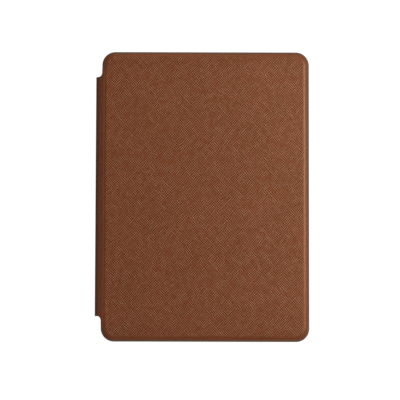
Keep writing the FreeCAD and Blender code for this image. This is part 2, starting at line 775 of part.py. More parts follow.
def make_mid_frame():
    """Stamped plate that carries the screen on its face, and the board and battery on its back."""
    frame = new_body("mid_frame")
    at(frame, z="frame_base")
    outline = new_sketch(frame, "outline")
    draw_rectangle(
        outline, "frame_width", "frame_height", "cavity_corner - fit_gap - skirt_thick - frame_gap")
    add_pad(frame, outline, "frame_thick")
    holes = new_sketch(frame, "screw_holes", z="frame_thick")
    for x, y in screw_places():
        draw_circle(holes, x, y, "screw_hole")
    add_pocket(frame, holes, "frame_thick")
    slot_y = "board_low + flex_notch_depth - 1.5 * flex_clear"
    slot = new_sketch(frame, "flex_slot", x="-flex_notch_side", y=slot_y, z="frame_thick")
    draw_rectangle(slot, "flex_notch_width - flex_clear", "1.5 * flex_clear", "flex_clear / 2")
    add_pocket(frame, slot, "frame_thick")
    studs = new_sketch(frame, "standoffs")
    for x, y in board_screw_places():
        draw_circle(studs, x, y, "standoff_radius")
    add_pad(frame, studs, "standoff", back=True)
    threads = new_sketch(frame, "standoff_threads", z="-standoff")
    for x, y in board_screw_places():
        draw_circle(threads, x, y, "screw_hole")
    add_pocket(frame, threads, "standoff + frame_thick", back=True)


def screw(name, x, y, head_base, grip):
    """A pan-head screw driven up from the back: its head stands on head_base and its shank passes grip."""
    head = post(f"{name}_head", "screw_head", "screw_head_thick", x, y, head_base)
    shank = post(f"{name}_shank", "screw_radius", f"screw_head_thick + {grip}", x, y, head_base)
    return joined(name, [head, shank])


def make_screws():
    frame = [
        screw(f"frame_screw_{n}", x, y, "frame_base - screw_head_thick", "frame_thick + screw_bite")
        for n, (x, y) in enumerate(screw_places())
    ]
    group("frame_screws", frame)
    board = [
        screw(f"board_screw_{n}", x, y, "board_under - screw_head_thick", "board_thick + standoff")
        for n, (x, y) in enumerate(board_screw_places())
    ]
    group("board_screws", board)


def make_reader_magnets():
    """Bar magnets in the right-hand rim, under the ones in the cover."""
    bars = [
        block(f"reader_magnet_{n}", "magnet_width", "magnet_length", "magnet_thick", "rim_x", y, "frame_top")
        for n, y in enumerate(magnet_places())
    ]
    group("reader_magnets", bars)


# ---------------------------------------------------------------- reader: main board

def make_main_board():
    """Circuit board, with its bottom edge notched for the flexes, the socket, the button and the switch."""
    board = plate("main_board", "board_width", "board_height", "board_thick", "can_corner",
                  y="board_low + board_height / 2", z="board_under")
    edge = "-board_height / 2"

    def cut_notch(name, x, width, depth):
        notch = new_sketch(board, f"{name}_notch", x=x, y=edge, z="board_thick")
        draw_rectangle(notch, width, f"2 * ({depth})")
        add_pocket(board, notch, "board_thick")

    socket_reach = "board_low + reader_foot - socket_recess"
    cut_notch("flexes", "-flex_notch_side", "flex_notch_width", "flex_notch_depth")
    cut_notch("socket", "0", "socket_width + 2 * fit_gap", f"socket_depth - ({socket_reach}) + fit_gap")
    cut_notch(
        "button", "button_x", "button_width + 4 * flange_lap", "wall_inside - switch_front - board_edge")
    cut_notch(
        "switch", "button_x", "switch_width + 2 * fit_gap",
        "-board_low - switch_front + switch_depth + fit_gap")
    holes = new_sketch(board, "screw_holes", y="-(board_low + board_height / 2)", z="board_thick")
    for x, y in board_screw_places():
        draw_circle(holes, x, y, "screw_hole + fit_gap")
    add_pocket(board, holes, "board_thick")


def shield_can(name, width, height, x, y):
    """A can of thin sheet over chips on the board's back. Its open side is against the board."""
    can = plate(name, width, height, "can_height", "can_corner", x, y, "board_under - can_height")
    hollow = new_sketch(can, "hollow", z="can_height")
    draw_rectangle(hollow, f"{width} - 2 * can_sheet", f"{height} - 2 * can_sheet", "can_corner - can_sheet")
    add_pocket(can, hollow, "can_height - can_sheet")


def chip(name, side, x, y):
    """A square chip soldered to the board's back."""
    return block(name, side, side, "chip_thick", x, y, "board_under - chip_thick")


def make_shields_and_chips():
    """Two cans and the chips under them, and two more chips that stand in the open."""
    shield_can("processor_shield", "processor_can_width", "processor_can_height", "processor_x", "parts_y")
    shield_can("radio_shield", "radio_can_side", "radio_can_side", "radio_x", "parts_y")
    chips = [
        chip("processor_chip", "chip_large", "processor_x - processor_can_width / 4", "parts_y"),
        chip("memory_chip", "chip_medium", "processor_x + processor_can_width / 4", "parts_y"),
        chip("radio_chip", "chip_small", "radio_x", "parts_y"),
        chip("power_chip", "chip_small", "storage_x", "parts_y"),
        chip(
            "storage_chip", "chip_large", "storage_x",
            "parts_y - processor_can_height / 2 - chip_small / 2"),
    ]
    group("board_chips", chips)


def make_passives():
    """Two rows of capacitors, one on each side of the larger can."""
    row_y = "(processor_can_height / 2 + passive_pitch)"
    rows = {"upper": f"parts_y + {row_y}", "lower": f"parts_y - {row_y}"}
    small = [
        block(f"passive_{row}_{n}", "passive_length", "passive_width", "passive_width",
              f"processor_x + ({n} - (passive_count - 1) / 2) * passive_pitch", y,
              "board_under - passive_width")
        for row, y in rows.items()
        for n in range(round(value("passive_count")))
    ]
    group("board_passives", small)


def make_sensor_and_antenna():
    """The sensor that feels the cover's magnet, and an antenna on the rear cover with its sprung clip."""
    sensor = block("hall_sensor", "sensor_width", "sensor_length", "chip_thick",
                   "board_width / 2 - sensor_length", "sleep_magnet_y", "board_under - chip_thick")
    finished(sensor, "hall_sensor")
    antenna_x = "-board_width / 2 + antenna_width / 2"
    antenna = block(
        "wifi_antenna", "antenna_width", "antenna_length", "flex_thick", antenna_x, "parts_y", "floor_top")
    finished(antenna, "wifi_antenna")
    clip_base = "floor_top + flex_thick"
    clip = block("antenna_clip", "clip_length", "clip_width", f"board_under - ({clip_base})",
                 antenna_x, "parts_y", clip_base)
    finished(clip, "antenna_clip")


def flat_cable(name, offset, width, start_y, start_z, slack):
    """A flex that leaves a layer's foot, drops through the notch to the board, and its connector.

    offset is its distance from the notch's middle. slack keeps it clear of the cable that drops behind it.
    """
    x = f"-flex_notch_side + ({offset})"
    drop_y = f"(board_low + flex_notch_depth - flex_clear - {slack})"
    mouth_y = "(board_low + flex_notch_depth + flex_clear)"
    run_z = "(board_under - connector_height / 2)"
    out = block(
        f"{name}_out", width, f"{start_y} - {drop_y}", "flex_thick",
        x, f"({start_y} + {drop_y}) / 2", start_z)
    drop = block(f"{name}_drop", width, "flex_thick", f"{start_z} - {run_z} + flex_thick",
                 x, f"{drop_y} + flex_thick / 2", run_z)
    run = block(
        f"{name}_in", width, f"{mouth_y} - {drop_y}", "flex_thick",
        x, f"({mouth_y} + {drop_y}) / 2", run_z)
    finished(joined(name, [out, drop, run]), name)
    return block(f"{name}_connector", f"{width} + connector_depth", "connector_depth", "connector_height",
                 x, f"{mouth_y} + connector_depth / 2", "board_under - connector_height")


def make_flexes():
    """The panel's wide flex and the touch lens's narrow one, side by side in the notch."""
    panel = flat_cable("panel_flex", "-flex_notch_width / 7", "panel_flex_width",
                       "panel_low", "(panel_base + panel_thick / 2)", "flex_clear / 2")
    touch = flat_cable("touch_flex", "flex_notch_width / 3", "touch_flex_width",
                       "(guide_low - led_strip_width)", "(lens_base + lens_thick / 2)", "flex_clear / 4")
    group("flex_connectors", [panel, touch])


def make_panel_driver():
    """Driver chip bonded to the foot of the panel's glass."""
    chip_y = "panel_low + 2 * driver_width"
    finished(block("panel_driver", "driver_length", "driver_width", "guide_thick - led_strip_thick",
                   "0", chip_y, "panel_base + panel_thick"), "panel_driver")


# ---------------------------------------------------------------- reader: bottom edge

def make_socket():
    """Charging socket: a drawn steel shell with an insulating tongue inside."""
    mouth = "-(reader_foot - socket_recess)"
    shell = new_body("socket_shell")
    at(shell, y=f"{mouth} + socket_depth", z="port_level")
    outside = new_sketch(shell, "outside", "XZ_Plane")
    draw_rectangle(outside, "socket_width", "socket_height", "socket_height / 4")
    add_pad(shell, outside, "socket_depth")
    tabs = new_sketch(shell, "tabs", "XZ_Plane", y="-socket_sheet / 2", z="socket_depth / 2")
    draw_rectangle(tabs, "socket_width + 2 * solder_tab", "socket_sheet")
    add_pad(shell, tabs, "solder_tab")
    inside = new_sketch(shell, "inside", "XZ_Plane", z="socket_depth")
    draw_rectangle(inside, "socket_width - 2 * socket_sheet", "socket_height - 2 * socket_sheet",
                   "socket_height / 4 - socket_sheet")
    add_pocket(shell, inside, "socket_depth - socket_sheet")
    base = block(
        "socket_tongue_base",
        "socket_width - 4 * socket_sheet", "tongue_base", "socket_height - 4 * socket_sheet",
        "0", f"{mouth} + socket_depth - socket_sheet - tongue_base / 2",
        "port_level - socket_height / 2 + 2 * socket_sheet")
    blade_height = "socket_height / 4"
    tongue = block(
        "socket_tongue_blade",
        "socket_width / 2", "socket_depth - 2 * socket_sheet - tongue_base", blade_height,
        "0", f"{mouth} + socket_sheet + (socket_depth - 2 * socket_sheet) / 2",
        f"port_level - {blade_height} / 2")
    finished(joined("socket_tongue", [base, tongue]), "socket_tongue")


def make_status_light():
    """A light pipe through the wall, and the chip that shines into it."""
    rod = lying_post("light_pipe_rod", "light_radius", "shell_wall", "light_x", "-reader_foot", "port_level")
    head = lying_post(
        "light_pipe_head", "light_radius + light_head", "light_head", "light_x", "-wall_inside", "port_level")
    finished(joined("light_pipe", [rod, head]), "light_pipe")
    led = block(
        "status_led", "status_led_width", "status_led_width / 2", "status_led_thick",
        "light_x", "board_low + status_led_thick", "board_under - status_led_thick")
    finished(led, "status_led")


def make_power_button():
    """Key with a flange that keeps it in the wall, and a stem that presses the switch behind it."""
    key = new_body("power_button")
    at(key, x="button_x", z="port_level")
    cap = new_sketch(key, "cap", "XZ_Plane", z="flange_back + flange_thick")
    draw_rectangle(cap, "button_width", "button_height", "button_height / 2 - fit_gap")
    add_pad(key, cap, "reader_foot + button_proud - flange_back - flange_thick")
    flange = new_sketch(key, "flange", "XZ_Plane", z="flange_back")
    draw_rectangle(
        flange,
        "button_width + 2 * (button_gap + flange_lap)", "button_height + 2 * (button_gap + flange_rise)")
    add_pad(key, flange, "flange_thick")
    stem = new_sketch(key, "stem", "XZ_Plane", z="flange_back")
    draw_rectangle(stem, "plunger_width", "plunger_height")
    add_pad(key, stem, "flange_back - plunger_tip", back=True)


def make_switch():
    """Side-push switch: a housing in the board's notch, and the plunger that slides in it."""
    middle = "-(switch_front - switch_depth / 2)"
    level = "port_level - switch_height / 2"
    case = block("switch_case", "switch_width", "switch_depth", "switch_height", "button_x", middle, level)
    slide = "2 * button_travel + plunger_proud"
    bore = block("switch_bore", "plunger_width + 2 * fit_gap", slide, "plunger_height + 2 * fit_gap",
                 "button_x", f"-switch_front + ({slide}) / 2", "port_level - plunger_height / 2 - fit_gap")
    hollow = less("switch_hollow", case, bore)
    tabs = [
        block(
            f"switch_tab_{name}", "solder_tab + fit_gap", "switch_depth / 2", "flex_thick",
            f"button_x + {side} * (switch_width / 2 + (solder_tab + fit_gap) / 2)", middle,
            "board_under - flex_thick")
        for name, side in (("left", -1), ("right", 1))
    ]
    finished(joined("switch_housing", [hollow, *tabs]), "switch_housing")
    length = "2 * plunger_proud"
    plunger = block(
        "switch_plunger", "plunger_width", length, "plunger_height",
        "button_x", f"-plunger_tip + ({length}) / 2", "port_level - plunger_height / 2")
    finished(plunger, "switch_plunger")


# ---------------------------------------------------------------- reader: battery

def make_battery():
    """Pouch cell taped under the middle frame, with its guard board and a tab that reaches the main board."""
    plate("battery_cell", "battery_width", "battery_height", "battery_thick", "battery_corner",
          y="battery_y", z="battery_base")
    edge = "(battery_y - battery_height / 2)"
    tab_z = "board_under - tab_thick"
    guard = block(
        "battery_board", "battery_width / 2", "guard_depth", "guard_thick",
        "0", f"{edge} - guard_depth / 2", f"{tab_z} - guard_thick")
    finished(guard, "battery_board")
    reach = "(battery_gap + tab_lap)"
    tab = block("battery_tab", "tab_width", reach, "tab_thick", "0", f"{edge} - {reach} / 2", tab_z)
    finished(tab, "battery_tab")
    tapes = [
        block(f"battery_tape_{side}", "tape_width", "battery_height - tape_width", "battery_tape",
              f"{x} * battery_width / 4", "battery_y", "frame_base - battery_tape")
        for side, x in (("left", -1), ("right", 1))
    ]
    group("battery_tapes", tapes)


# ---------------------------------------------------------------- build, check and write

def build():
    make_tray()
    make_back_skin()
    make_front_skin()
    make_cover_board()
    make_cover_magnets()
    make_cover_lining()
    make_spine()
    make_front_crease()
    make_back_crease()
    make_rear_cover()
    make_front_bezel()
    make_screen()
    make_panel_driver()
    make_mid_frame()
    make_screws()
    make_reader_magnets()
    make_main_board()
    make_shields_and_chips()
    make_passives()
    make_sensor_and_antenna()
    make_flexes()
    make_socket()
    make_status_light()
    make_power_button()
    make_switch()
    make_battery()
    doc.recompute()


def faults():
    """What failed to compute, as plain sentences."""
    found = [
        f"{thing.Label} is {state}"
        for thing in doc.Objects
        for state in ("Invalid", "Error")
        if state in thing.State
    ]
    for piece in PIECES:
        if piece.Shape.isNull() or not piece.Shape.isValid():
            found.append(f"{piece.Label} has no valid shape")
        elif not piece.Shape.Solids:
            found.append(f"{piece.Label} has no solid")
    return found


def write():
    os.makedirs("parts", exist_ok=True)
    for piece in PIECES:
        piece.Shape.exportStep(f"parts/{piece.Label}.step")
        print(f"{piece.Label:18s} {len(piece.Shape.Solids):3d} solids {piece.Shape.Volume:12.2f} mm3")
    print(f"{len(PIECES)} sub-parts")


build()
problems = faults()
if problems:
    raise SystemExit("\n".join(problems))
write()
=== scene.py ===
import math

import bmesh
import bpy
from mathutils import Matrix, Vector


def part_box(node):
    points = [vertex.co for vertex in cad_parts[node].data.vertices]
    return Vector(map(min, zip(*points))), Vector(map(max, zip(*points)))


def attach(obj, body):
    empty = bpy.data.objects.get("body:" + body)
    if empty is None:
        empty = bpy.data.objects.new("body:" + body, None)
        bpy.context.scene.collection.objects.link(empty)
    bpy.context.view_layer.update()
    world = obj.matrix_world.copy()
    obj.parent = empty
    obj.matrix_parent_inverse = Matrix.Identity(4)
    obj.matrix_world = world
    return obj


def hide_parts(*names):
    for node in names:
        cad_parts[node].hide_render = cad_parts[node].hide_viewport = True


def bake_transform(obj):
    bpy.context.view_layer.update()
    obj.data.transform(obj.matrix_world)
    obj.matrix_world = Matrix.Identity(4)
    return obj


# An e-reader shut in a leather-covered folio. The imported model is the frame, and each section below dresses
# one piece or group of like pieces. Meshes are worked in millimetres and turned to metres when they are
# finished.
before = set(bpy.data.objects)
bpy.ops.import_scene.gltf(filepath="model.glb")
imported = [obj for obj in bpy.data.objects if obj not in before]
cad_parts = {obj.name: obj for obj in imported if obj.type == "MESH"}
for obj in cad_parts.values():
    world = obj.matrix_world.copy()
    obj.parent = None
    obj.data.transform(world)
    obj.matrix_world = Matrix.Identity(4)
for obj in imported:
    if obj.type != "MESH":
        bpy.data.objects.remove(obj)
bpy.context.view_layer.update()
MM = 0.001


# ================================================================ front cover and spine: leather
# Split leather with a polyurethane face, pressed with a fine cross-hatch and glued over a board. It is one
# sheet from the cover's right-hand edge over its face, round the front crease and down the spine.

def node_box(node):
    """The lowest and highest corners of a node, in millimetres."""
    return [Vector(corner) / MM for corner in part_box(node)]


def linear(colour):
    """An sRGB hex colour as linear red, green, blue and alpha."""
    channels = [int(colour[i:i + 2], 16) / 255 for i in (1, 3, 5)]
    return [c / 12.92 if c <= 0.04045 else ((c + 0.055) / 1.055) ** 2.4 for c in channels] + [1.0]


def add(tree, kind, inputs=None, stops=(), **settings):
    """Adds a node. An input is a value, an sRGB hex colour or the output that feeds it, and stops are the
    places and colours on a colour ramp."""
    node = tree.nodes.new(kind)
    for name, setting in settings.items():
        setattr(node, name, setting)
    for name, given in (inputs or {}).items():
        socket = node.inputs[name]
        if isinstance(given, bpy.types.NodeSocket):
            tree.links.new(given, socket)
        else:
            socket.default_value = linear(given) if isinstance(given, str) else given
    for n, (position, colour) in enumerate(stops):
        elements = node.color_ramp.elements
        element = elements[n] if n < 2 else elements.new(position)
        element.position = position
        element.color = linear(colour)
    return node


def new_material(name):
    """An empty material and its node tree."""
    material = bpy.data.materials.new(name)
    material.use_nodes = True
    material.node_tree.nodes.clear()
    return material, material.node_tree


def surface(tree, inputs):
    """Ends a material with a shader that takes these inputs."""
    shader = add(tree, "ShaderNodeBsdfPrincipled", inputs)
    add(tree, "ShaderNodeOutputMaterial", {"Surface": shader.outputs["BSDF"]})


LEATHER_GROUND = "#391805"  # pressed down
LEATHER_TONE = "#774024"    # left as it was
LEATHER_CREST = "#a8785c"   # standing proud, and paler
PAINTED_EDGE_SHEEN = "#6a5041"        # painted grey reflection and shade, put on the turned edge
BENT_PRESS = 0.45           # share of the pattern's depth left where the sheet bends round the spine
TURNED_PRESS = 0.25         # and where it is turned over the cover's edge
HATCH_PITCH = 1.0           # mm between the pressed lines, as coarse as they have to be to show
HATCH_ANGLE = math.radians(43)
PRESS_DEPTH = 0.10          # mm
PORE_DEPTH = 0.03           # mm
WAVE_PERIOD = math.pi / 10  # a wave texture's period at scale 1


def hatch_lines(tree, uv, angle, seed, patches, favour):
    """One set of pressed lines, from -0.5 in the ground to 0.5 on a crest. They come and go in short
    dashes, and favour is how strong they are in the two kinds of patch."""
    turned = add(tree, "ShaderNodeMapping", {
        "Vector": uv, "Rotation": (0, 0, angle), "Location": (seed, 0, 0)}).outputs["Vector"]
    lines = add(tree, "ShaderNodeTexWave", {
        "Vector": turned, "Scale": WAVE_PERIOD / HATCH_PITCH, "Distortion": 3.8, "Detail": 2.0,
        "Detail Scale": 1.0})
    level = add(tree, "ShaderNodeMath", {0: lines.outputs["Fac"], 1: 0.5}, operation="SUBTRACT")
    dash_length, dash_width = 5.0, 2.2
    dashes_at = add(tree, "ShaderNodeMapping", {
        "Vector": turned, "Scale": (1 / dash_width, 1 / dash_length, 1)}).outputs["Vector"]
    dashes = add(tree, "ShaderNodeTexNoise", {"Vector": dashes_at, "Scale": 1.0, "Detail": 2.0})
    strength = add(tree, "ShaderNodeMapRange", {
        "Value": dashes.outputs["Fac"], "From Min": 0.34, "From Max": 0.66, "To Min": 0.05, "To Max": 1.1})
    patch = add(tree, "ShaderNodeMapRange", {
        "Value": patches, "From Min": 0.42, "From Max": 0.58, "To Min": favour[0], "To Max": favour[1]})
    dashed = add(tree, "ShaderNodeMath", {
        0: level.outputs["Value"], 1: strength.outputs["Result"]}, operation="MULTIPLY")
    return add(tree, "ShaderNodeMath", {
        0: dashed.outputs["Value"], 1: patch.outputs["Result"]}, operation="MULTIPLY").outputs["Value"]


def hatched_leather():
    """Cross-hatch-pressed polyurethane leather: semi-matt, with its raised lines paler than the ground
    between them, so that the eye gets a warm brown with a fine sparkle across it."""
    material, tree = new_material("cross_hatch_pressed_leather")
    uv = add(tree, "ShaderNodeUVMap", uv_map="unrolled_mm").outputs["UV"]
    patch_size = 8.0
    patches = add(tree, "ShaderNodeTexNoise", {
        "Vector": uv, "Scale": 1 / patch_size, "Detail": 1.0}).outputs["Fac"]
    rising = hatch_lines(tree, uv, HATCH_ANGLE, 0, patches, (0.6, 1.1))
    falling = hatch_lines(tree, uv, -HATCH_ANGLE, 37, patches, (1.1, 0.6))
    both = add(tree, "ShaderNodeMath", {0: rising, 1: falling}, operation="ADD").outputs["Value"]
    emboss = add(tree, "ShaderNodeAttribute", attribute_name="emboss").outputs["Fac"]
    height = add(tree, "ShaderNodeMath", {
        0: both, 1: emboss, 2: 0.5}, operation="MULTIPLY_ADD").outputs["Value"]
    tone = add(tree, "ShaderNodeValToRGB", {"Fac": height},
               stops=((0.0, LEATHER_GROUND), (0.5, LEATHER_TONE), (1.0, LEATHER_CREST)))
    cloud_size = 22.0
    cloud = add(tree, "ShaderNodeTexNoise", {"Vector": uv, "Scale": 1 / cloud_size, "Detail": 3.0})
    tint = add(tree, "ShaderNodeValToRGB", {"Fac": cloud.outputs["Fac"]},
               stops=((0.3, "#f4f0e6"), (0.7, "#fff7f5")))
    tinted = add(tree, "ShaderNodeMix", {"Factor": 1.0, 6: tone.outputs["Color"], 7: tint.outputs["Color"]},
                 data_type="RGBA", blend_type="MULTIPLY")
    # the rim attribute mixes a painted grey reflection and shade into the colour along the cover's turned
    # edge
    rim = add(tree, "ShaderNodeAttribute", attribute_name="rim").outputs["Fac"]
    edged = add(tree, "ShaderNodeMix", {"Factor": rim, 6: tinted.outputs[2], 7: PAINTED_EDGE_SHEEN}, data_type="RGBA")
    pore_size = 0.42
    pores = add(tree, "ShaderNodeTexNoise", {
        "Vector": uv, "Scale": 1 / pore_size, "Detail": 2.0}).outputs["Fac"]
    rubbed = add(tree, "ShaderNodeMapRange", {
        "Value": emboss, "From Min": TURNED_PRESS, "From Max": 1.0, "To Min": 0.22, "To Max": 0.35})
    rough = add(tree, "ShaderNodeMath", {
        0: pores, 1: 0.12, 2: rubbed.outputs["Result"]}, operation="MULTIPLY_ADD")
    pressed = add(tree, "ShaderNodeBump", {"Height": height, "Strength": 0.6, "Distance": PRESS_DEPTH * MM})
    pored = add(tree, "ShaderNodeBump", {
        "Height": pores, "Strength": 0.25, "Distance": PORE_DEPTH * MM,
        "Normal": pressed.outputs["Normal"]})
    surface(tree, {
        "Base Color": edged.outputs[2], "Roughness": rough.outputs["Value"],
        "Normal": pored.outputs["Normal"], "IOR": 1.46, "Specular IOR Level": 0.3,
        "Specular Tint": "#ffcfae"})
    return material


def rounded_plan(bm, low, high, corner, z, steps=14):
    """A flat face with round corners, from low to high in plan. Returns it."""
    size = high - low
    made = bmesh.ops.create_grid(bm, x_segments=1, y_segments=1, size=0.5)
    middle = (low + high) / 2
    bmesh.ops.scale(bm, vec=(size.x, size.y, 1), verts=made["verts"])
    bmesh.ops.translate(bm, vec=(middle.x, middle.y, z), verts=made["verts"])
    bmesh.ops.bevel(
        bm, geom=made["verts"], offset=corner, offset_type="OFFSET", segments=steps, profile=0.5,
        affect="VERTICES", material=-1)
    return bm.faces[:][-1]


def extrude(bm, faces, offset):
    """Extrudes faces by an offset, leaving none behind inside the solid. Returns the moved faces."""
    edges = list(dict.fromkeys(edge for face in faces for edge in face.edges))
    made = bmesh.ops.extrude_face_region(bm, geom=faces + edges)["geom"]
    bmesh.ops.translate(bm, vec=offset, verts=[g for g in made if isinstance(g, bmesh.types.BMVert)])
    return [g for g in made if isinstance(g, bmesh.types.BMFace)]


def roll_in(bm, face, run, fall, steps, power=2.0):
    """Rounds the edge of a face: insets it ring by ring as it rises by fall over run, on a superellipse."""
    before_run, before_rise = 0.0, 0.0
    for step in range(1, steps + 1):
        along = 1 - math.cos(math.pi / 2 * step / steps)
        rise = fall * (1 - (1 - along) ** power) ** (1 / power)
        bmesh.ops.inset_region(
            bm, faces=[face], thickness=run * along - before_run, depth=rise - before_rise,
            use_even_offset=True, use_boundary=True)
        before_run, before_rise = run * along, rise


def lowest_face(bm):
    return min(bm.faces, key=lambda face: face.calc_center_median().z)


def smoothstep(low, high, x):
    """0 up to low and 1 from high on, with a smooth change between them."""
    share = min(max((x - low) / (high - low), 0.0), 1.0)
    return share * share * (3 - 2 * share)


def cut_across(bm, axis, places):
    """Cuts every face where it crosses these places along an axis."""
    normal = Vector((0, 0, 0))
    normal[axis] = 1
    for place in places:
        everything = bm.verts[:] + bm.edges[:] + bm.faces[:]
        bmesh.ops.bisect_plane(bm, geom=everything, plane_co=normal * place, plane_no=normal, dist=1e-5)


def finish_piece(name, bm, material, slot, unroll=None, sharp=40, **attributes):
    """Turns a mesh worked in millimetres into an object in metres. unroll gives its UV map, and each of the
    attributes a value for every vertex. Edges are sharp from an angle of sharp degrees."""
    bmesh.ops.recalc_face_normals(bm, faces=bm.faces)
    # an extrusion leaves its faces in an order that changes from run to run, so they are sorted
    bm.verts.index_update()
    in_order = sorted(bm.faces, key=lambda face: sorted(vert.index for vert in face.verts))
    place = {face: n for n, face in enumerate(in_order)}
    bm.faces.sort(key=place.get)
    if unroll:
        uv = bm.loops.layers.uv.new("unrolled_mm")
        for face in bm.faces:
            for loop in face.loops:
                loop[uv].uv = unroll(loop.vert.co)
    for attribute, value_at in attributes.items():
        layer = bm.verts.layers.float.new(attribute)
        for vert in bm.verts:
            vert[layer] = value_at(vert.co)
    for face in bm.faces:
        face.smooth = True
    bmesh.ops.scale(bm, vec=(MM, MM, MM), verts=bm.verts)
    mesh = bpy.data.meshes.new(name)
    bm.to_mesh(mesh)
    bm.free()
    mesh.set_sharp_from_angle(angle=math.radians(sharp))
    mesh.materials.append(material)
    piece = bpy.data.objects.new(name, mesh)
    bpy.context.scene.collection.objects.link(piece)
    return piece


leather = hatched_leather()

cover_low, cover_high = node_box("front_skin")
crease_low, crease_high = node_box("front_crease")
spine_low, spine_high = node_box("spine_skin")
NEAR = 1e-3                 # places closer than this are the same
SKIN = spine_high.x - spine_low.x   # the sheet's thickness
COVER_CORNER = 7.5          # radius of the cover's corners
EDGE_RUN = 3.6              # how far in from the outline the soft edge starts to drop
EDGE_FALL = 1.8             # how far it drops
EDGE_POWER = 1.35           # 2 would be an ellipse, and 1 a straight slope
WALL = 0.2                  # the upright part of the edge, below the soft part
WALL_LOW = cover_high.z - EDGE_FALL - WALL
UNDER_ROUND = 0.45          # the edge's lower corner
HEM = 4.0                   # the leather turned in over the board
HEM_LIP = 0.15              # the hem's own inner edge
RECESS_DEEP = 0.7           # the recess inside the hem, where the lining lies
RECESS_LEAN = 0.02          # how far its walls lean in
edge_x = cover_low.x        # the cover's left edge, where the sheet goes on into the spine
spine_bulge = edge_x - crease_low.x
crease_z = crease_low.z     # where the bend under the crease is centred
spine_end = crease_high.y
SPINE_CUT = 2.0             # a cut across the leather, this far short of the spine's ends
FLARE = 2.2                 # radius where the spine's ends meet the cover's edge
EDGE_FADE = 4.0             # past the flare, how far the left edge takes to become round like the others
CREASE_AT = 1.5             # the pressed crease, in from the edge
CREASE_SINK = 0.35          # how far the leather has sunk there
CREASE_RISE = 1.2           # how far inwards it takes to come up again
CREASE_DEEP = 0.12          # the groove along the crease, and half its width
CREASE_HALF = 0.35
BEND_POWER = 1.5            # 2 would be an ellipse
BEND_RUN = spine_bulge + CREASE_AT
BEND_FALL = 4.2             # how far the leather drops from the crease before it is upright
bend_foot = cover_high.z - CREASE_SINK - BEND_FALL

bm = bmesh.new()
base = rounded_plan(bm, cover_low.xy, cover_high.xy, COVER_CORNER, WALL_LOW)
middle = extrude(bm, [base], (0, 0, WALL / 2))
top, = extrude(bm, middle, (0, 0, WALL / 2))
bmesh.ops.recalc_face_normals(bm, faces=bm.faces)
roll_in(bm, top, EDGE_RUN, EDGE_FALL, steps=22, power=EDGE_POWER)
under = lowest_face(bm)
roll_in(bm, under, UNDER_ROUND, WALL_LOW - cover_low.z, steps=5)
for inset, rise in ((HEM - UNDER_ROUND - HEM_LIP, 0), (HEM_LIP, 0), (RECESS_LEAN, -RECESS_DEEP)):
    bmesh.ops.inset_region(
        bm, faces=[under], thickness=inset, depth=rise, use_even_offset=True, use_boundary=True)

flare_end = spine_end + FLARE
fade_cuts = [flare_end + EDGE_FADE * n / 5 for n in range(6)]
cut_across(bm, 1, [side * y for side in (-1, 1) for y in [spine_end - SPINE_CUT, *fade_cuts]])


def bend_height(x, inside):
    """The leather's height where it bends from the crease down to the spine, inside mm under its face."""
    share = min((edge_x + CREASE_AT - x) / (BEND_RUN - inside), 1.0)
    return bend_foot + (BEND_FALL - inside) * (1 - share ** BEND_POWER) ** (1 / BEND_POWER)


def reach_of_spine(y):
    """1 along the spine and 0 past its ends, where the cover's left edge is rolled like the others."""
    return 1 - smoothstep(flare_end, flare_end + EDGE_FADE, abs(y))


for vert in bm.verts:
    along = reach_of_spine(vert.co.y)
    inwards = vert.co.x - edge_x
    if along == 0 or inwards > EDGE_RUN or vert.co.z < WALL_LOW + WALL / 4:
        continue
    groove = CREASE_DEEP * math.exp(-((inwards - CREASE_AT) / CREASE_HALF) ** 2)
    if inwards > CREASE_AT:
        risen = smoothstep(CREASE_AT, CREASE_AT + CREASE_RISE, inwards)
        level = cover_high.z - CREASE_SINK * (1 - risen) - groove
    elif inwards > NEAR:
        level = bend_height(vert.co.x, 0) - groove
    else:
        level = crease_high.z if vert.co.z > WALL_LOW + WALL * 0.75 else crease_high.z - SKIN
    vert.co.z += (level - vert.co.z) * along

band = [
    f for f in bm.faces
    if all(abs(v.co.x - edge_x) < NEAR and abs(v.co.y) < flare_end + NEAR for v in f.verts)
    and min(v.co.z for v in f.verts) > crease_high.z - SKIN - NEAR
]
spun = bmesh.ops.spin(
    bm, geom=band, cent=(edge_x, 0, crease_z), axis=(0, 1, 0), angle=math.radians(-90), steps=14,
    use_duplicate=False)
bmesh.ops.delete(bm, geom=band, context="FACES")
strip = [g for g in spun["geom_last"] if isinstance(g, bmesh.types.BMFace)]
SPINE_STEPS = 4
for step in range(SPINE_STEPS):
    strip = extrude(bm, strip, (0, 0, (spine_low.z - crease_z) / SPINE_STEPS))


def along_leather(point):
    """How far round the bend a point is from the cover's edge."""
    if point.z > crease_z:
        return spine_bulge * math.atan2(edge_x - point.x, point.z - crease_z)
    return spine_bulge * math.pi / 2 + crease_z - point.z


def soften_bend(verts, thick):
    """Lowers a round bend, thick layers under its face, to the slacker curve that the leather takes."""
    for vert in verts:
        radius = math.hypot(vert.co.x - edge_x, vert.co.z - crease_z)
        on_bend = vert.co.x < edge_x + NEAR and vert.co.z > crease_z - NEAR
        if on_bend and radius > spine_bulge - thick - NEAR:
            vert.co.z = bend_height(vert.co.x, spine_bulge - radius)


for vert in bm.verts:
    if vert.co.x < edge_x - NEAR:
        past = FLARE - min(along_leather(vert.co), FLARE)
        limit = spine_end + FLARE - math.sqrt(FLARE ** 2 - past ** 2)
        if abs(vert.co.y) > limit:
            vert.co.y = math.copysign(limit, vert.co.y)
soften_bend([v for v in bm.verts if abs(v.co.y) < flare_end + NEAR], SKIN)


def out_of_core(point):
    """From the cover's plan, less its corner radius all round, to a point. On the cover's outline it is
    COVER_CORNER long."""
    return point.xy - Vector((
        min(max(point.x, cover_low.x + COVER_CORNER), cover_high.x - COVER_CORNER),
        min(max(point.y, cover_low.y + COVER_CORNER), cover_high.y - COVER_CORNER)))


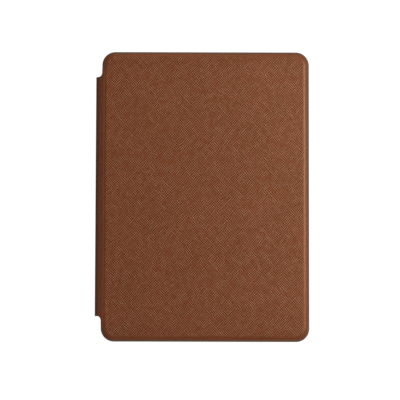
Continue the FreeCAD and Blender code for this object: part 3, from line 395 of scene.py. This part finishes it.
def unroll_cover(point):
    """Where a point of the leather was before the sheet was bent, in millimetres."""
    if point.x < edge_x - NEAR:
        return (edge_x - along_leather(point), point.y)
    spine_side = point.x < edge_x + EDGE_RUN and reach_of_spine(point.y) > 0.5
    if spine_side:
        return point.xy
    return point.xy + out_of_core(point).normalized() * (cover_high.z - point.z)


PRESS_FULL = 0.02           # the edge has dropped this far where the pattern starts to fade
PRESS_END = 0.25            # and this far where it has stopped
SHEEN_FULL = 0.2              # mm from the outline, out from which the painted edge sheen is at its strongest
SHEEN_END = 1.9               # and where it has faded out


def press_on_cover(point):
    """How deep the pattern is pressed: it is stretched out of the leather where the sheet is bent."""
    if point.x < edge_x - NEAR:
        return BENT_PRESS
    fall = cover_high.z - point.z
    return 1 - (1 - TURNED_PRESS) * smoothstep(PRESS_FULL, PRESS_END, fall)


def painted_sheen_on_cover(point):
    """How much of the painted grey reflection and shade on the turned edge shows. There is none where the
    leather goes on into the spine.
    """
    if point.x < edge_x - NEAR:
        return 0.0
    beside_spine = (1 - smoothstep(edge_x, edge_x + EDGE_RUN, point.x)) * reach_of_spine(point.y)
    inwards = COVER_CORNER - out_of_core(point).length
    return (1 - smoothstep(SHEEN_FULL, SHEEN_END, inwards)) * (1 - beside_spine)


cover_leather = finish_piece(
    "cover_leather", bm, leather, "leather", unroll_cover, sharp=50,
    emboss=press_on_cover, rim=painted_sheen_on_cover)

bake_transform(cover_leather)
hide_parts("front_skin", "front_crease", "spine_skin")


# ================================================================ back: leather
# The same pressed leather, carried on from the spine's foot: it bends in under the reader and is glued flat
# to the tray's back, cut level with the tray's edge.

back_low, back_high = node_box("back_skin")
foot_low, foot_high = node_box("back_crease")
foot_z = foot_high.z
BACK_CORNER = 7.15          # radius of the back's corners
CUT_ROUND = 0.15            # the leather's upper edge, against the tray
BASE_ROUND = 0.3            # how far in its lower edge is rounded, and how far up
BASE_RISE = 0.25

bm = bmesh.new()
body_low = Vector((-back_high.x, back_low.y))
base = rounded_plan(bm, body_low, back_high.xy, BACK_CORNER, back_low.z + BASE_RISE)
top, = extrude(bm, [base], (0, 0, back_high.z - back_low.z - BASE_RISE - CUT_ROUND))
bmesh.ops.recalc_face_normals(bm, faces=bm.faces)
roll_in(bm, top, CUT_ROUND, CUT_ROUND, steps=3)
under = lowest_face(bm)
roll_in(bm, under, BASE_ROUND, BASE_RISE, steps=4)
cut_across(bm, 1, [side * y for side in (-1, 1) for y in (spine_end - SPINE_CUT, flare_end)])
wall = [
    f for f in bm.faces
    if all(abs(v.co.x - body_low.x) < NEAR and abs(v.co.y) < flare_end + NEAR for v in f.verts)
]
strip = extrude(bm, wall, (edge_x - body_low.x, 0, 0))
for vert in {v for f in strip for v in f.verts}:
    vert.co.z = foot_low.z + SKIN if vert.co.z > back_low.z + BASE_RISE + NEAR else foot_low.z
bmesh.ops.spin(
    bm, geom=strip, cent=(edge_x, 0, foot_z), axis=(0, 1, 0), angle=math.radians(90), steps=14,
    use_duplicate=False)
bmesh.ops.delete(bm, geom=strip, context="FACES")
for vert in bm.verts:
    if vert.co.x < edge_x + NEAR and abs(vert.co.y) > spine_end - SPINE_CUT / 2:
        vert.co.y = math.copysign(spine_end, vert.co.y)


def unroll_back(point):
    """The sheet's flat plan goes on from the spine's foot, round the lower bend and along the back."""
    quarter_turn = spine_bulge * math.pi / 2
    foot_at = edge_x - quarter_turn - (crease_z - foot_z)
    if point.x < edge_x - NEAR:
        return (foot_at - spine_bulge * math.atan2(foot_z - point.z, edge_x - point.x), point.y)
    return (foot_at - quarter_turn - (point.x - edge_x), point.y)


def press_on_back(point):
    """How deep the pattern is pressed, as on the cover."""
    return BENT_PRESS if point.x < edge_x - NEAR else 1.0


back_leather = finish_piece(
    "back_leather", bm, leather, "leather", unroll_back, sharp=50, emboss=press_on_back)

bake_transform(back_leather)
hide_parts("back_skin", "back_crease")


# ================================================================ front cover: lining
# Microfibre cloth, knitted and then brushed up into a short nap. It is cut to a panel and glued to the
# board inside the leather's hem, flush with it.

def brushed_microfibre():
    """Short brushed nap: no gloss, a pale bloom at grazing angles, and streaks where it was stroked."""
    material, tree = new_material("brushed_microfibre")
    place = add(tree, "ShaderNodeTexCoord").outputs["Object"]
    fibre_width = 0.5 * MM      # coarser than the real nap, which would be too fine to show
    nap_depth = 0.1 * MM
    fibres = add(tree, "ShaderNodeTexNoise", {
        "Vector": place, "Scale": 1 / fibre_width, "Detail": 3.0}).outputs["Fac"]
    stroke_width = 11 * MM
    stroked_at = add(tree, "ShaderNodeMapping", {
        "Vector": place, "Scale": (1, 0.25, 1), "Rotation": (0, 0, 0.3)}).outputs["Vector"]
    strokes = add(tree, "ShaderNodeTexNoise", {
        "Vector": stroked_at, "Scale": 1 / stroke_width, "Detail": 2.0})
    fibre_tone = add(tree, "ShaderNodeValToRGB", {"Fac": fibres},
                     stops=((0.3, "#2c2622"), (0.7, "#4a413a")))
    stroke_tone = add(tree, "ShaderNodeValToRGB", {"Fac": strokes.outputs["Fac"]},
                      stops=((0.35, "#d9d9d9"), (0.65, "#ffffff")))
    stroked = add(tree, "ShaderNodeMix", {
        "Factor": 1.0, 6: fibre_tone.outputs["Color"], 7: stroke_tone.outputs["Color"]},
        data_type="RGBA", blend_type="MULTIPLY")
    nap = add(tree, "ShaderNodeBump", {"Height": fibres, "Strength": 0.5, "Distance": nap_depth})
    surface(tree, {
        "Base Color": stroked.outputs[2], "Roughness": 0.95, "Specular IOR Level": 0.15,
        "Sheen Weight": 0.35, "Sheen Roughness": 0.5, "Normal": nap.outputs["Normal"]})
    return material


microfibre = brushed_microfibre()

lining_low, lining_high = node_box("cover_lining")
PANEL_GAP = 0.15            # between the panel and the hem
PANEL_ROUND = 0.4           # how far in the panel's edge is rounded, and how far up
PANEL_RISE = 0.25

bm = bmesh.new()
base = rounded_plan(
    bm, lining_low.xy, lining_high.xy, COVER_CORNER - HEM - PANEL_GAP, lining_low.z + PANEL_RISE, steps=8)
extrude(bm, [base], (0, 0, lining_high.z - lining_low.z - PANEL_RISE))
bmesh.ops.recalc_face_normals(bm, faces=bm.faces)
under = lowest_face(bm)
roll_in(bm, under, PANEL_ROUND, PANEL_RISE, steps=4)
panel = finish_piece("cover_lining_panel", bm, microfibre, "lining")
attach(panel, "front_cover")
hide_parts("cover_lining")


# ================================================================ spine: lining
# The same microfibre lines the spine from the cover's edge to the back, in two lengths that meet at the
# spine's foot. It stands further in where it covers the stiffener.

strip_low, strip_high = node_box("spine_lining")
LINING = 0.5                # its thickness at the bends
STRIP_SHORT = 0.3           # how far short of the spine's ends it stops
STRIP_TAPER = 0.5           # the stretch that stands further in stops this far short of the bends
STRIP_STEPS = 6


def bent_strip(name, centre_z, turn, flat_length):
    """A strip of lining round the inside of one of the two bends, and on over flat_length mm of the spine.
    It goes down the spine where turn is -1, and up where it is 1."""
    bm = bmesh.new()
    made = bmesh.ops.create_grid(bm, x_segments=1, y_segments=1, size=0.5)
    bmesh.ops.scale(bm, vec=(LINING, 2 * (spine_end - STRIP_SHORT), 1), verts=made["verts"])
    bmesh.ops.rotate(bm, verts=made["verts"], matrix=Matrix.Rotation(math.radians(90), 3, "Y"))
    middle_radius = spine_bulge - SKIN - LINING / 2
    bmesh.ops.translate(bm, vec=(edge_x, 0, centre_z - turn * middle_radius), verts=made["verts"])
    spun = bmesh.ops.spin(
        bm, geom=bm.faces[:], cent=(edge_x, 0, centre_z), axis=(0, 1, 0), angle=math.radians(turn * 90),
        steps=12, use_duplicate=False)
    end = [g for g in spun["geom_last"] if isinstance(g, bmesh.types.BMFace)]
    if flat_length:
        soften_bend(bm.verts, SKIN + LINING)
        flat_length += bend_foot - crease_z
        for step in range(STRIP_STEPS):
            end = extrude(bm, end, (0, 0, turn * flat_length / STRIP_STEPS))
        for vert in bm.verts:
            down = bend_foot - vert.co.z
            on_inner_face = vert.co.x > strip_low.x + LINING - NEAR
            if on_inner_face and STRIP_TAPER < down < flat_length - STRIP_TAPER:
                vert.co.x = strip_high.x
    return finish_piece(name, bm, microfibre, "lining", sharp=60)


upper_lining = bent_strip("spine_lining_upper", crease_z, turn=-1, flat_length=crease_z - foot_z)
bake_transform(upper_lining)
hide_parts("spine_lining")
lower_lining = bent_strip("spine_lining_lower", foot_z, turn=1, flat_length=0)
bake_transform(lower_lining)


# ================================================================ front cover: board
# Grey book board, pressed from waste paper and die-cut with pockets for the magnets. It is glued between
# the leather and the lining, and makes the cover stiff.

def plain(name, dark, pale, roughness, grain, depth=0.02, metallic=0.0):
    """A finish whose tone goes from dark to pale, and its height by depth mm, over patches of grain mm."""
    material, tree = new_material(name)
    place = add(tree, "ShaderNodeTexCoord").outputs["Object"]
    noise = add(tree, "ShaderNodeTexNoise", {
        "Vector": place, "Scale": 1 / (grain * MM), "Detail": 3.0}).outputs["Fac"]
    tone = add(tree, "ShaderNodeValToRGB", {"Fac": noise}, stops=((0.3, dark), (0.7, pale)))
    bump = add(tree, "ShaderNodeBump", {"Height": noise, "Strength": 0.4, "Distance": depth * MM})
    surface(tree, {
        "Base Color": tone.outputs["Color"], "Roughness": roughness, "Metallic": metallic,
        "Normal": bump.outputs["Normal"]})
    return material


def dress(material, *nodes):
    """Puts a material on nodes of the frame."""
    for name in nodes:
        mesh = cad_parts[name].data
        mesh.materials.clear()
        mesh.materials.append(material)


# chalky, and speckled with darker fibres
dress(plain("grey_book_board", "#9a9184", "#aca293", 0.9, grain=0.6, depth=0.05), "cover_board")


# ================================================================ spine: stiffener
# A strip of polypropylene, extruded and cut to length. It lies in the pocket between the leather and the
# lining, and keeps the spine flat between its two bends.

# slightly waxy, an even milky white
dress(plain("extruded_polypropylene", "#d3d3cf", "#d9d9d5", 0.4, grain=2.0), "spine_stiffener")


# ================================================================ magnets
# Sintered neodymium iron boron, plated with nickel. They are glued into pockets in the board and under the
# bezel. They hold the cover shut, and wake the reader when it opens.

# bright and a little yellow, with a soft even reflection
nickel = plain("nickel_plated_magnet", "#c5c4be", "#cdccc5", 0.25, grain=1.0, depth=0.005, metallic=1.0)
dress(nickel, "cover_magnets", "sleep_magnet", "reader_magnets")


# ================================================================ tray
# Polycarbonate, moulded in one shot, with a rim that the reader snaps into. The leather's back is glued to
# its underside.

# a fine spark-eroded texture spreads the light, so that the black looks dull and even
textured = plain("textured_polycarbonate", "#272729", "#2e2e31", 0.5, grain=0.35, depth=0.05)
dress(textured, "tray")


# ================================================================ reader: rear shell
# A blend of polycarbonate and ABS, moulded and then lacquered. It is the tub that holds everything inside
# the reader, and the bezel clips over it.

# soft-touch lacquer: nearly matt, a faint grey haze over the black
dress(plain("soft_touch_lacquered_abs", "#28282a", "#2c2c2e", 0.62, grain=0.3, depth=0.015), "rear_cover")


# ================================================================ reader: front bezel
# The same blend, moulded against an etched tool and left as it comes. It clips into the rear shell and
# frames the screen.

# a slight gloss on a fine grain, which breaks up reflections
dress(plain("matt_moulded_abs", "#222224", "#27272a", 0.45, grain=0.4, depth=0.03), "front_bezel")


# ================================================================ reader: power key and its switch
# A moulded key that slides in a slot in the rear shell's lower edge and presses the plunger of a small
# switch on the main board.

# smoother than the shell round it, so that the key shows as a satin bar
dress(plain("satin_moulded_abs", "#39393c", "#444448", 0.35, grain=0.5), "power_button")
# off-white and slightly glossy
dress(plain("moulded_nylon", "#d8d6ce", "#e0ded6", 0.4, grain=0.4), "switch_plunger")


# ================================================================ reader: screen
# A film of microcapsules on glass, taped to the middle frame. Over it lie an acrylic light guide, lit along
# one edge by a strip of lamps, and a touch lens in a foam gasket.

def electronic_paper():
    """A film of microcapsules, blank: matt, a warm pale grey with a faint grain like newsprint."""
    material, tree = new_material("electronic_paper_film")
    place = add(tree, "ShaderNodeTexCoord").outputs["Object"]
    capsules = 0.44 * MM        # coarser than real microcapsules, which would be too fine to show
    grain = add(tree, "ShaderNodeTexNoise", {
        "Vector": place, "Scale": 1 / capsules, "Detail": 2.0}).outputs["Fac"]
    tone = add(tree, "ShaderNodeValToRGB", {"Fac": grain}, stops=((0.3, "#cbcac1"), (0.7, "#d6d5cc")))
    surface(tree, {"Base Color": tone.outputs["Color"], "Roughness": 0.8})
    return material


def clear_layer(name, colour, cover, roughness):
    """A layer that is looked through. cover is how much it hides of what is behind it."""
    material, tree = new_material(name)
    place = add(tree, "ShaderNodeTexCoord").outputs["Object"]
    etch_size, etch_depth = 0.3 * MM, 0.01 * MM
    etch = add(tree, "ShaderNodeTexNoise", {
        "Vector": place, "Scale": 1 / etch_size, "Detail": 2.0}).outputs["Fac"]
    bump = add(tree, "ShaderNodeBump", {"Height": etch, "Strength": 0.2, "Distance": etch_depth})
    surface(tree, {
        "Base Color": colour, "Roughness": roughness, "Alpha": cover, "Normal": bump.outputs["Normal"]})
    return material


dress(electronic_paper(), "e_paper_panel")
# etched so that it scatters reflections: a thin grey veil over the page
dress(clear_layer("etched_touch_lens", "#e9ebe9", 0.12, 0.4), "screen_lens")
# polished, all but invisible
dress(clear_layer("acrylic_light_guide", "#f2f4f2", 0.04, 0.15), "light_guide")
# dull black and slightly speckled by its cells
dress(plain("closed_cell_foam", "#1c1c1c", "#242424", 0.95, grain=0.3, depth=0.05), "display_gasket")
# yellow when they are off
dress(plain("phosphor_coated_led", "#e2d688", "#eee290", 0.4, grain=0.3), "frontlight_leds", "status_led")
# white, with the tissue's fibres just visible
dress(plain("tissue_tape", "#d6d4ca", "#e2e0d5", 0.7, grain=0.5), "panel_tape", "battery_tapes")
# milky, so that it glows evenly
dress(clear_layer("frosted_polycarbonate", "#e4e6e4", 0.6, 0.5), "light_pipe")


# ================================================================ reader: middle frame, screws and shields
# The middle frame is stamped from aluminium sheet and carries the screen and the boards. Plated screws hold
# it down, and tinned cans are pressed over the circuits.

# a soft grey with a broad dull sheen
dress(plain("passivated_aluminium_sheet", "#b9babc", "#c1c2c4", 0.42, grain=0.8, metallic=1.0), "mid_frame")
# bluish grey and fairly bright
dress(plain("zinc_plated_steel", "#afb1b3", "#b7b9bb", 0.35, grain=0.5, depth=0.005, metallic=1.0),
      "frame_screws", "board_screws", "antenna_clip", "battery_tab")
# whiter and brighter than zinc, with faint rolling marks
dress(plain("tinned_steel_sheet", "#c0bfba", "#c7c6c0", 0.3, grain=1.2, depth=0.01, metallic=1.0),
      "processor_shield", "radio_shield", "socket_shell")


# ================================================================ reader: boards, chips and flexes
# Glass-epoxy boards, printed and then soldered with their parts. Polyimide flexes join them to the screen,
# the touch lens and the lamps, and plug into moulded connectors.

# solder mask: glossy green over the copper's relief
dress(plain("green_solder_mask", "#1a4428", "#204f2f", 0.35, grain=0.9), "main_board", "battery_board")
# charcoal and matt
dress(plain("epoxy_moulding_compound", "#272728", "#2d2d2e", 0.6, grain=0.2),
      "board_chips", "panel_driver", "hall_sensor", "socket_tongue", "switch_housing")
# ivory and slightly glossy
dress(plain("liquid_crystal_polymer", "#d2c9af", "#ded4b9", 0.5, grain=0.4),
      "flex_connectors", "board_passives")
# clear amber over copper
dress(plain("polyimide_flex", "#aa6622", "#b66e26", 0.3, grain=1.5),
      "panel_flex", "touch_flex", "led_strip", "wifi_antenna")


# ================================================================ reader: battery
# A lithium pouch cell: wound foils sealed in an aluminium laminate, with its own small board, and taped to
# the middle frame.

# a silvery skin that is slightly pillowed and creased
dress(plain("aluminium_laminate_pouch", "#c2c2c3", "#cacacc", 0.35, grain=6.0, depth=0.1, metallic=0.8),
      "battery_cell")


# ================================================================ floor, light and camera
# A white floor that is lit from below, so that it takes no shadow, and soft light from the upper right. The
# floor is low enough for the cover to swing round under the tray.

FLOOR_SIZE = 6.0            # m
FLOOR_DROP = 11.5           # mm; the cover reaches 10.8 mm under the tray

bm = bmesh.new()
bmesh.ops.create_grid(bm, x_segments=1, y_segments=1, size=FLOOR_SIZE / 2)
bmesh.ops.translate(bm, vec=(0, 0, -FLOOR_DROP * MM), verts=bm.verts)
floor_mesh = bpy.data.meshes.new("floor")
bm.to_mesh(floor_mesh)
bm.free()
floor = bpy.data.objects.new("floor", floor_mesh)
bpy.context.scene.collection.objects.link(floor)
# opal acrylic, lit from behind: an even white that takes no shadow
white, tree = new_material("lit_white_acrylic")
surface(tree, {
    "Base Color": "#5a5a5a", "Roughness": 0.9, "Specular IOR Level": 0.0, "Emission Color": "#ffffff",
    "Emission Strength": 1.0})
floor_mesh.materials.append(white)
floor.visible_diffuse = False
floor.visible_glossy = False


def soft_light(name, place, power, width, height, colour):
    """A soft light, in metres and watts, that faces the middle of the object. Its width is level."""
    light = bpy.data.lights.new(name, "AREA")
    light.energy = power
    light.shape = "RECTANGLE"
    light.size = width
    light.size_y = height
    light.color = linear(colour)[:3]
    lamp = bpy.data.objects.new(name, light)
    lamp.location = place
    lamp.rotation_euler = (-Vector(place)).to_track_quat("-Z", "Y").to_euler()
    bpy.context.scene.collection.objects.link(lamp)


WARM_WHITE = "#fffaf4"
COOL_WHITE = "#f4f6fa"
ROOM_LIGHT = 0.20           # what the room itself throws back
# the key makes the narrow highlight down the right-hand edge, and the fills light the other sides
soft_light("key", (0.43, 0.12, 0.52), power=4.15, width=0.42, height=0.14, colour=WARM_WHITE)
soft_light("left_fill", (-0.80, -0.10, 0.22), power=0.5, width=0.60, height=0.30, colour=COOL_WHITE)
soft_light("front_fill", (0.10, -0.90, 0.25), power=0.8, width=0.60, height=0.30, colour=COOL_WHITE)
soft_light("back_fill", (0.10, 0.62, 0.46), power=0.9, width=0.60, height=0.20, colour=COOL_WHITE)

world = bpy.data.worlds.new("studio")
world.use_nodes = True
background = world.node_tree.nodes["Background"]
background.inputs["Color"].default_value = linear(COOL_WHITE)
background.inputs["Strength"].default_value = ROOM_LIGHT
bpy.context.scene.world = world
bpy.context.scene.view_settings.view_transform = "Standard"

DISTANCE = 0.9              # m from the camera to the cover
TILT = math.radians(3.6)    # of the camera, towards the object's lower edge
ROLL = math.radians(0.15)
VIEW_WIDTH = 0.2270         # m across the view, at the cover
SENSOR = 36.0               # mm
aim = Vector((-0.0030, -0.00228, cover_high.z * MM))
camera_data = bpy.data.cameras.new("camera")
camera_data.sensor_width = SENSOR
camera_data.lens = SENSOR * DISTANCE / VIEW_WIDTH
camera_data.clip_end = 20.0
camera = bpy.data.objects.new("camera", camera_data)
camera.location = aim + DISTANCE * Vector((0, -math.sin(TILT), math.cos(TILT)))
camera.rotation_euler = (Matrix.Rotation(TILT, 3, "X") @ Matrix.Rotation(ROLL, 3, "Z")).to_euler()
bpy.context.scene.collection.objects.link(camera)
bpy.context.scene.camera = camera
